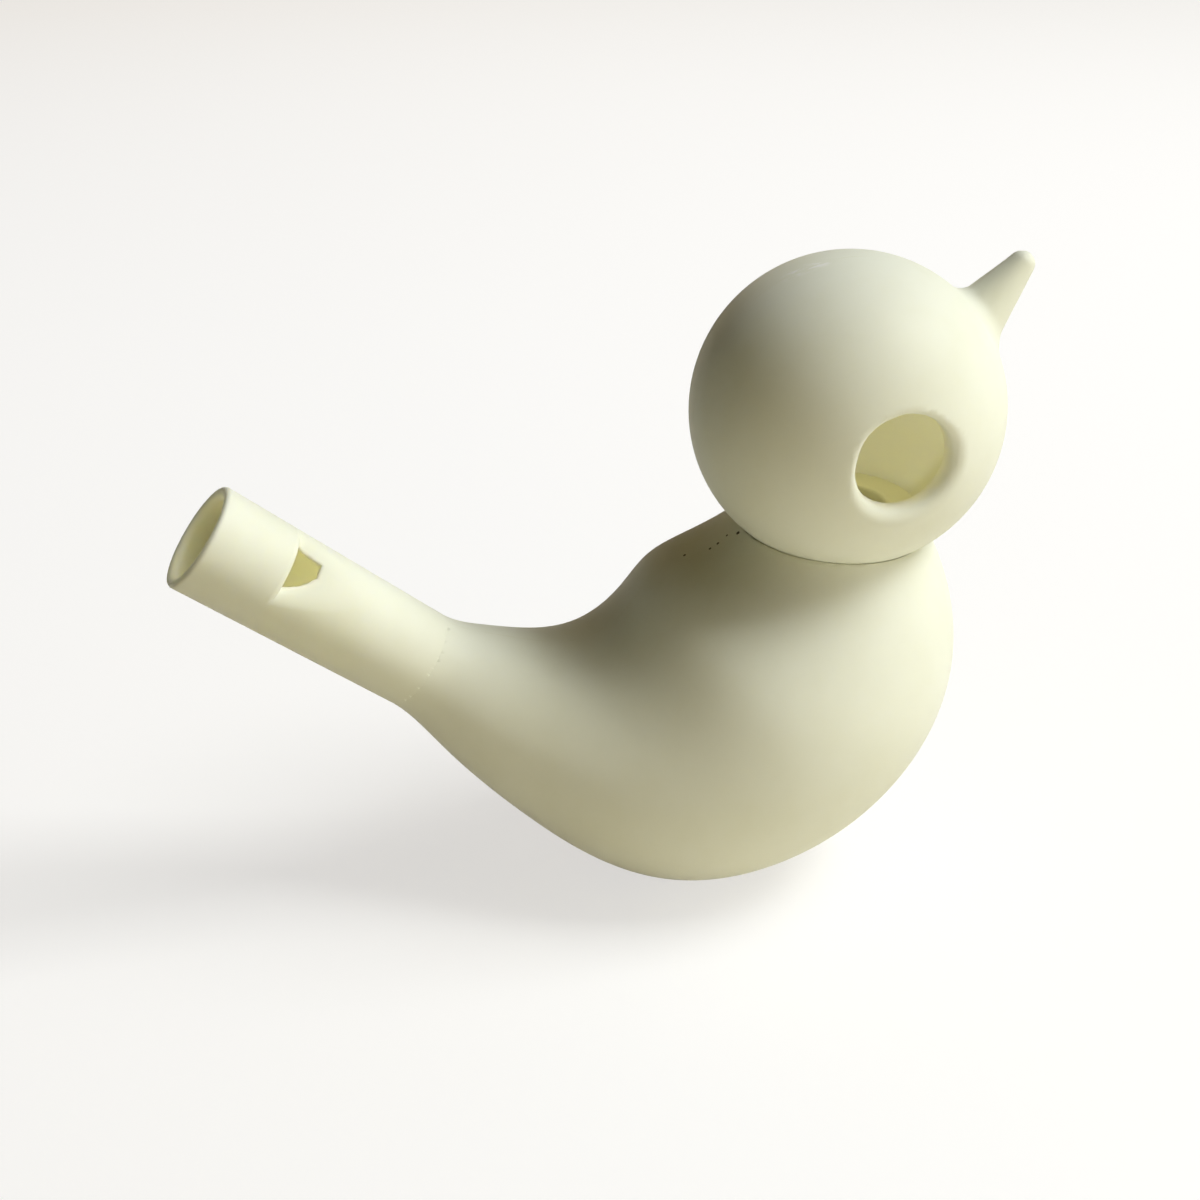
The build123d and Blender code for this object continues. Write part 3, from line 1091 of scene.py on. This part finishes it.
@dataclass(frozen=True)
class Whistle:
    """The tail: a tapered tube with its window, and the block that leaves the windway."""

    layout: Layout
    mouth_radius: float = 5.35 * MM
    joint_radius: float = 5.0 * MM
    bore: float = 4.1 * MM
    length: float = 25.0 * MM
    mouth_round: float = 0.4 * MM
    bore_round: float = 0.8 * MM
    mouthpiece: float = 8.1 * MM
    step_depth: float = 1.4 * MM
    step_round: float = 0.6 * MM
    ramp: float = 5.5 * MM
    window: float = 2.7 * MM
    window_step_width: float = 3.8 * MM
    window_lip_width: float = 1.4 * MM
    window_lip_shift: float = 0.7 * MM
    window_edge: float = 0.14 * MM
    recess: float = 2.2 * MM
    block_fit: float = 0.03 * MM
    windway: float = 1.1 * MM
    cell: float = 0.2 * MM
    block_cell: float = 0.3 * MM
    # Reach past the bore of the painted glow colour and the deeper light.
    bore_from: float = 0.6 * MM
    bore_to: float = 0.2 * MM
    plastic: CreamPlastic = CreamPlastic(
        depth=1.1 * MM, share=0.3, inner_share=0.6, clear_from=2.0 * MM, clear_to=9.0 * MM
    )

    @property
    def axes(self) -> Matrix:
        """Turns the tail's own directions, window X and mouth Z, into the bird's."""
        across = self.layout.tail.cross(self.layout.facing)
        turn = Matrix((self.layout.facing, across, self.layout.tail)).transposed()
        return Matrix.Translation(self.layout.joint) @ turn.to_4x4()

    @property
    def step(self) -> float:
        """Distance of the mouthpiece's step from the tail's joint."""
        return self.length - self.mouthpiece

    def tube(self) -> Form:
        """Tube, step, ramp and window in the tail's own directions."""
        taper = (self.mouth_radius - self.joint_radius) / self.length
        outer = Form(lambda p: np.hypot(p[:, 0], p[:, 1]) - self.joint_radius - taper * p[:, 2])
        mouth = side_of(Vector((0, 0, self.length)), Vector((0, 0, 1)))
        joint = side_of(Vector(), Vector((0, 0, -1)))
        tube = outer.trimmed(mouth, self.mouth_round) & joint
        tube = tube.carved(rod(Vector((0, 0, -1)), Vector((0, 0, 1)), self.bore), self.bore_round)
        foot = Vector((self.joint_radius + taper * self.step - self.step_depth, 0, self.step))
        cut = side_of(foot, Vector((-self.ramp, 0, -self.step_depth))) & side_of(foot, Vector((0, 0, 1)))
        return tube.carved(cut, self.step_round).carved(self.opening(), self.window_edge)

    def opening(self) -> Form:
        """Room of the window through the wall, narrowing from the step to the lip."""
        lip = self.step - self.window
        room = side_of(Vector((0, 0, self.step)), Vector((0, 0, 1)))
        room &= side_of(Vector((0, 0, lip)), Vector((0, 0, -1)))
        for side in Side:
            near = Vector((0, side.value * self.window_step_width / 2, self.step))
            far = Vector((0, self.window_lip_shift + side.value * self.window_lip_width / 2, lip))
            run = far - near
            room &= side_of(near, Vector((0, -run.z, run.y)) * side.value)
        return room & side_of(Vector(), Vector((-1, 0, 0)))

    def block(self) -> Form:
        """Plug in the mouth with the flat that leaves the windway."""
        end = Vector((0, 0, self.length - self.recess))
        plug = rod(Vector((0, 0, self.step)), end, self.bore - self.block_fit)
        return plug & side_of(Vector((self.bore - self.windway, 0, 0)), Vector((1, 0, 0)))

    def build(self) -> list[bpy.types.Object]:
        """Make the tube and its block."""
        reach = Vector((self.mouth_radius, self.mouth_radius, 0))
        pieces = []
        for name, node, form, cell in (
            ("tube", "whistle_tube", self.tube(), self.cell),
            ("block", "fipple_block", self.block(), self.block_cell),
        ):
            piece = mesh_object(name, Skin(form, -reach, reach + Vector((0, 0, self.length)), cell))
            piece.data.transform(self.axes)
            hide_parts(node)
            pieces.append(piece)
        return pieces

    def dress(self, pieces: Sequence[bpy.types.Object]) -> None:
        """Give the tube and its block their plastic, with the bore and the block painted the paler glow
        colour.
        """
        # Bore walls and the block inside get the painted glow colour.
        wide, tight = self.bore + self.bore_from, self.bore + self.bore_to
        room = Hollow(self.layout.joint, wide, tight, self.layout.tail)
        cover(pieces, self.plastic.material("tail_cream", self.layout.joint_edge, room))


@dataclass(frozen=True)
class Lamp:
    """A soft flat lamp, placed from the middle of the bird."""

    name: str
    place: Vector
    facing: Vector
    width: float
    height: float
    power: float
    tint: Tint

    @classmethod
    def around(
        cls, name: str, azimuth: float, elevation: float, away: float, width: float, power: float, tint: Tint
    ) -> "Lamp":
        """Lamp in a direction from the bird that points at it.

        Args:
            name: name of the lamp.
            azimuth: direction on plan, in degrees from the beak's side towards the bird's left.
            elevation: angle above the floor, in degrees.
            away: distance from the bird.
            width: width and height of the lamp.
            power: power in watts.
            tint: colour of the light.

        Returns:
            The lamp.
        """
        turn, up = math.radians(azimuth), math.radians(elevation)
        aim = Vector((math.cos(up) * math.cos(turn), math.cos(up) * math.sin(turn), math.sin(up)))
        return cls(name, aim * away, -aim, width, width, power, tint)

    def build(self, middle: Vector) -> None:
        """Hang the lamp, placed from the middle of the bird."""
        data = bpy.data.lights.new(self.name, "AREA")
        data.shape = "RECTANGLE"
        data.size = self.width
        data.size_y = self.height
        data.energy = self.power
        data.color = self.tint
        lamp = put(self.name, data)
        lamp.location = middle + self.place
        lamp.rotation_euler = self.facing.to_track_quat("-Z", "Y").to_euler()
        lamp.visible_camera = False


@dataclass(frozen=True)
class Stage:
    """Floor, surround, lamps and camera."""

    layout: Layout
    lamps: tuple[Lamp, ...] = (
        Lamp.around("key", -9.0, 50.0, 1.0, 0.4, 7.7, (0.97, 1.0, 0.99)),
        Lamp("window", Vector((0.80, -0.24, 1.00)), Vector((-1, 0, 0)), 1.44, 1.80, 4.4, (0.97, 1.0, 1.0)),
        Lamp.around("sky", -10.0, 75.0, 1.0, 0.5, 0.9, (1.0, 0.98, 0.86)),
        Lamp.around("side", 40.0, 10.0, 1.0, 0.5, 0.75, (1.0, 0.95, 0.7)),
        Lamp.around("behind", 95.0, 20.0, 0.8, 0.5, 0.4, (1.0, 0.60, 0.08)),
        Lamp.around("front", -80.0, 10.0, 0.8, 0.4, 1.05, (1.0, 0.80, 0.33)),
        Lamp.around("table", -60.0, -18.0, 0.12, 0.07, 0.04, (0.95, 1.0, 1.0)),
    )
    head_glow: float = 0.00055
    tail_glow: float = 0.00014
    mouth_glow: float = 0.0003
    glow_tint: Tint = (1.0, 0.96, 0.62)
    glow_size: float = 1.5 * MM
    glow_along: float = 11.5 * MM
    mouth_along: float = 30.0 * MM
    reach: float = 2.0
    # Middle of the backdrop's painted pool of light.
    painted_pool_centre: Vector = Vector((0, 0.25, 0))
    surround: Colour = (0.57, 0.56, 0.55, 1.0)
    picture: float = 1200.0
    focal: float = 1700.0
    head_right: float = 23.69 * MM
    head_up: float = 18.37 * MM
    head_away: float = 163.73 * MM
    elevation: float = math.radians(29.0)
    behind: float = math.radians(11.0)
    sensor: float = 36.0

    def camera(self) -> None:
        """Set the camera at the photograph's angle, from the bird's right and a little from behind."""
        right = Vector((math.cos(self.behind), -math.sin(self.behind), 0))
        level = Vector((-math.sin(self.behind), -math.cos(self.behind), 0))
        backward = level * math.cos(self.elevation) + Vector((0, 0, 1)) * math.sin(self.elevation)
        up = backward.cross(right)
        data = bpy.data.cameras.new("camera")
        data.sensor_width = self.sensor
        data.lens = self.focal / self.picture * self.sensor
        data.clip_start = 1 * MM
        eye = self.layout.head - right * self.head_right - up * self.head_up + backward * self.head_away
        camera = put("camera", data)
        camera.matrix_world = Matrix.Translation(eye) @ Matrix((right, up, backward)).transposed().to_4x4()
        bpy.context.scene.camera = camera

    def glow(self, name: str, place: Vector, power: float) -> None:
        """Hang a faint warm lamp by a hollow, for the light that comes through thin walls.

        Args:
            name: name of the lamp.
            place: where it hangs.
            power: power in watts.
        """
        data = bpy.data.lights.new(name, "POINT")
        data.energy = power
        data.color = self.glow_tint
        data.shadow_soft_size = self.glow_size
        lamp = put(name, data)
        lamp.location = place
        lamp.visible_camera = False

    def floor(self) -> None:
        """Lay the paper that the bird stands on."""
        edge = self.reach
        corners = [(-edge, -edge, 0), (edge, -edge, 0), (edge, edge, 0), (-edge, edge, 0)]
        mesh = bpy.data.meshes.new("floor")
        mesh.from_pydata(corners, [], [(0, 1, 2, 3)])
        mesh.materials.append(PaleSweep().material("paper", self.painted_pool_centre))
        put("floor", mesh)

    def horizon(self) -> bpy.types.World:
        """Pale surround past the floor's edge, which the camera sees and which lights nothing."""
        world = bpy.data.worlds.new("world")
        world.use_nodes = True
        tree = world.node_tree
        tree.nodes.remove(tree.nodes["Background"])
        nodes = Nodes(tree)
        ray = nodes.add("ShaderNodeLightPath", {}, {}, "Is Camera Ray")
        dark = nodes.add("ShaderNodeBackground", {}, {"Color": (0.0, 0.0, 0.0, 1.0), "Strength": 0.0})
        pale = nodes.add("ShaderNodeBackground", {}, {"Color": self.surround, "Strength": 1.0})
        shown = nodes.add("ShaderNodeMixShader", {}, {0: ray, 1: dark, 2: pale})
        tree.links.new(tree.nodes["World Output"].inputs["Surface"], shown.socket)
        return world

    def build(self) -> None:
        """Set everything up around the bird."""
        self.camera()
        self.floor()
        for lamp in self.lamps:
            lamp.build(self.layout.middle)
        self.glow("head_glow", self.layout.head, self.head_glow)
        self.glow("tail_glow", self.layout.joint + self.layout.tail * self.glow_along, self.tail_glow)
        self.glow("mouth_glow", self.layout.joint + self.layout.tail * self.mouth_along, self.mouth_glow)
        bpy.context.scene.world = self.horizon()
        bpy.context.scene.view_settings.view_transform = "Standard"


def main() -> None:
    """Build the bird's pieces in order and set the stage."""
    logging.basicConfig(level=logging.INFO, format="%(name)s %(message)s")
    layout = Layout()
    collar = NeckCollar(layout)
    for part in (collar, Head(layout, collar), Body(layout, collar), Whistle(layout)):
        pieces = part.build()
        part.dress(pieces)
        for piece in pieces:
            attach(piece, BODY)
            LOG.info("%s: %d faces", piece.name, len(piece.data.polygons))
    Stage(layout).build()


if __name__ == "__main__":
    main()
